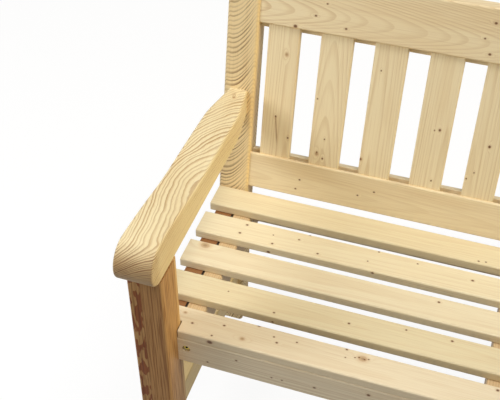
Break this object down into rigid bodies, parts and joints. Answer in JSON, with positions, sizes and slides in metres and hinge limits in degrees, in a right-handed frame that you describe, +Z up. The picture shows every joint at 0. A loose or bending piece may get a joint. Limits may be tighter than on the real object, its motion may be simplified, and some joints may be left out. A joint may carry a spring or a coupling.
{
  "type": "garden bench",
  "caption": "Garden bench of planed softwood with slatted seat, leaning slatted back, square legs and thick sculpted armrests, bolted together from separate timbers.",
  "frame": {"origin": "on the floor, under the middle of the bench's length and depth", "axes": "+Z up, +X along the bench, +Y from the front edge of the seat towards the back"},
  "size_m": [1.5028, 0.7216, 0.9864],
  "materials": {
    "pine": "planed and sanded, clear oiled",
    "beech": "plain turned",
    "yellow_zinc": "yellow passivated zinc plate",
    "plain_zinc": "bright zinc plate"
  },
  "bodies": {
    "root": {"apron_barrel_nuts": "plain_zinc", "apron_bolts": "yellow_zinc", "back_rail_barrel_nuts": "plain_zinc", "back_rail_bolts": "yellow_zinc", "back_rail_dowels": "beech", "back_slat_01": "pine", "back_slat_02": "pine", "back_slat_03": "pine", "back_slat_04": "pine", "back_slat_05": "pine", "back_slat_06": "pine", "back_slat_07": "pine", "back_slat_08": "pine", "back_slat_09": "pine", "back_slat_10": "pine", "back_slat_11": "pine", "bottom_back_rail": "pine", "front_apron": "pine", "left_armrest": "pine", "left_front_leg": "pine", "left_low_stretcher": "pine", "left_rear_post": "pine", "left_seat_bearer": "pine", "left_side_rail": "pine", "middle_seat_bearer": "pine", "rear_apron": "pine", "right_armrest": "pine", "right_front_leg": "pine", "right_low_stretcher": "pine", "right_rear_post": "pine", "right_seat_bearer": "pine", "right_side_rail": "pine", "seat_slat_1": "pine", "seat_slat_2": "pine", "seat_slat_3": "pine", "seat_slat_4": "pine", "seat_slat_5": "pine", "seat_slat_screws": "yellow_zinc", "side_frame_bolts": "yellow_zinc", "side_frame_dowels": "beech", "side_frame_sleeve_nuts": "plain_zinc", "top_back_rail": "pine"}
  },
  "joints": []
}
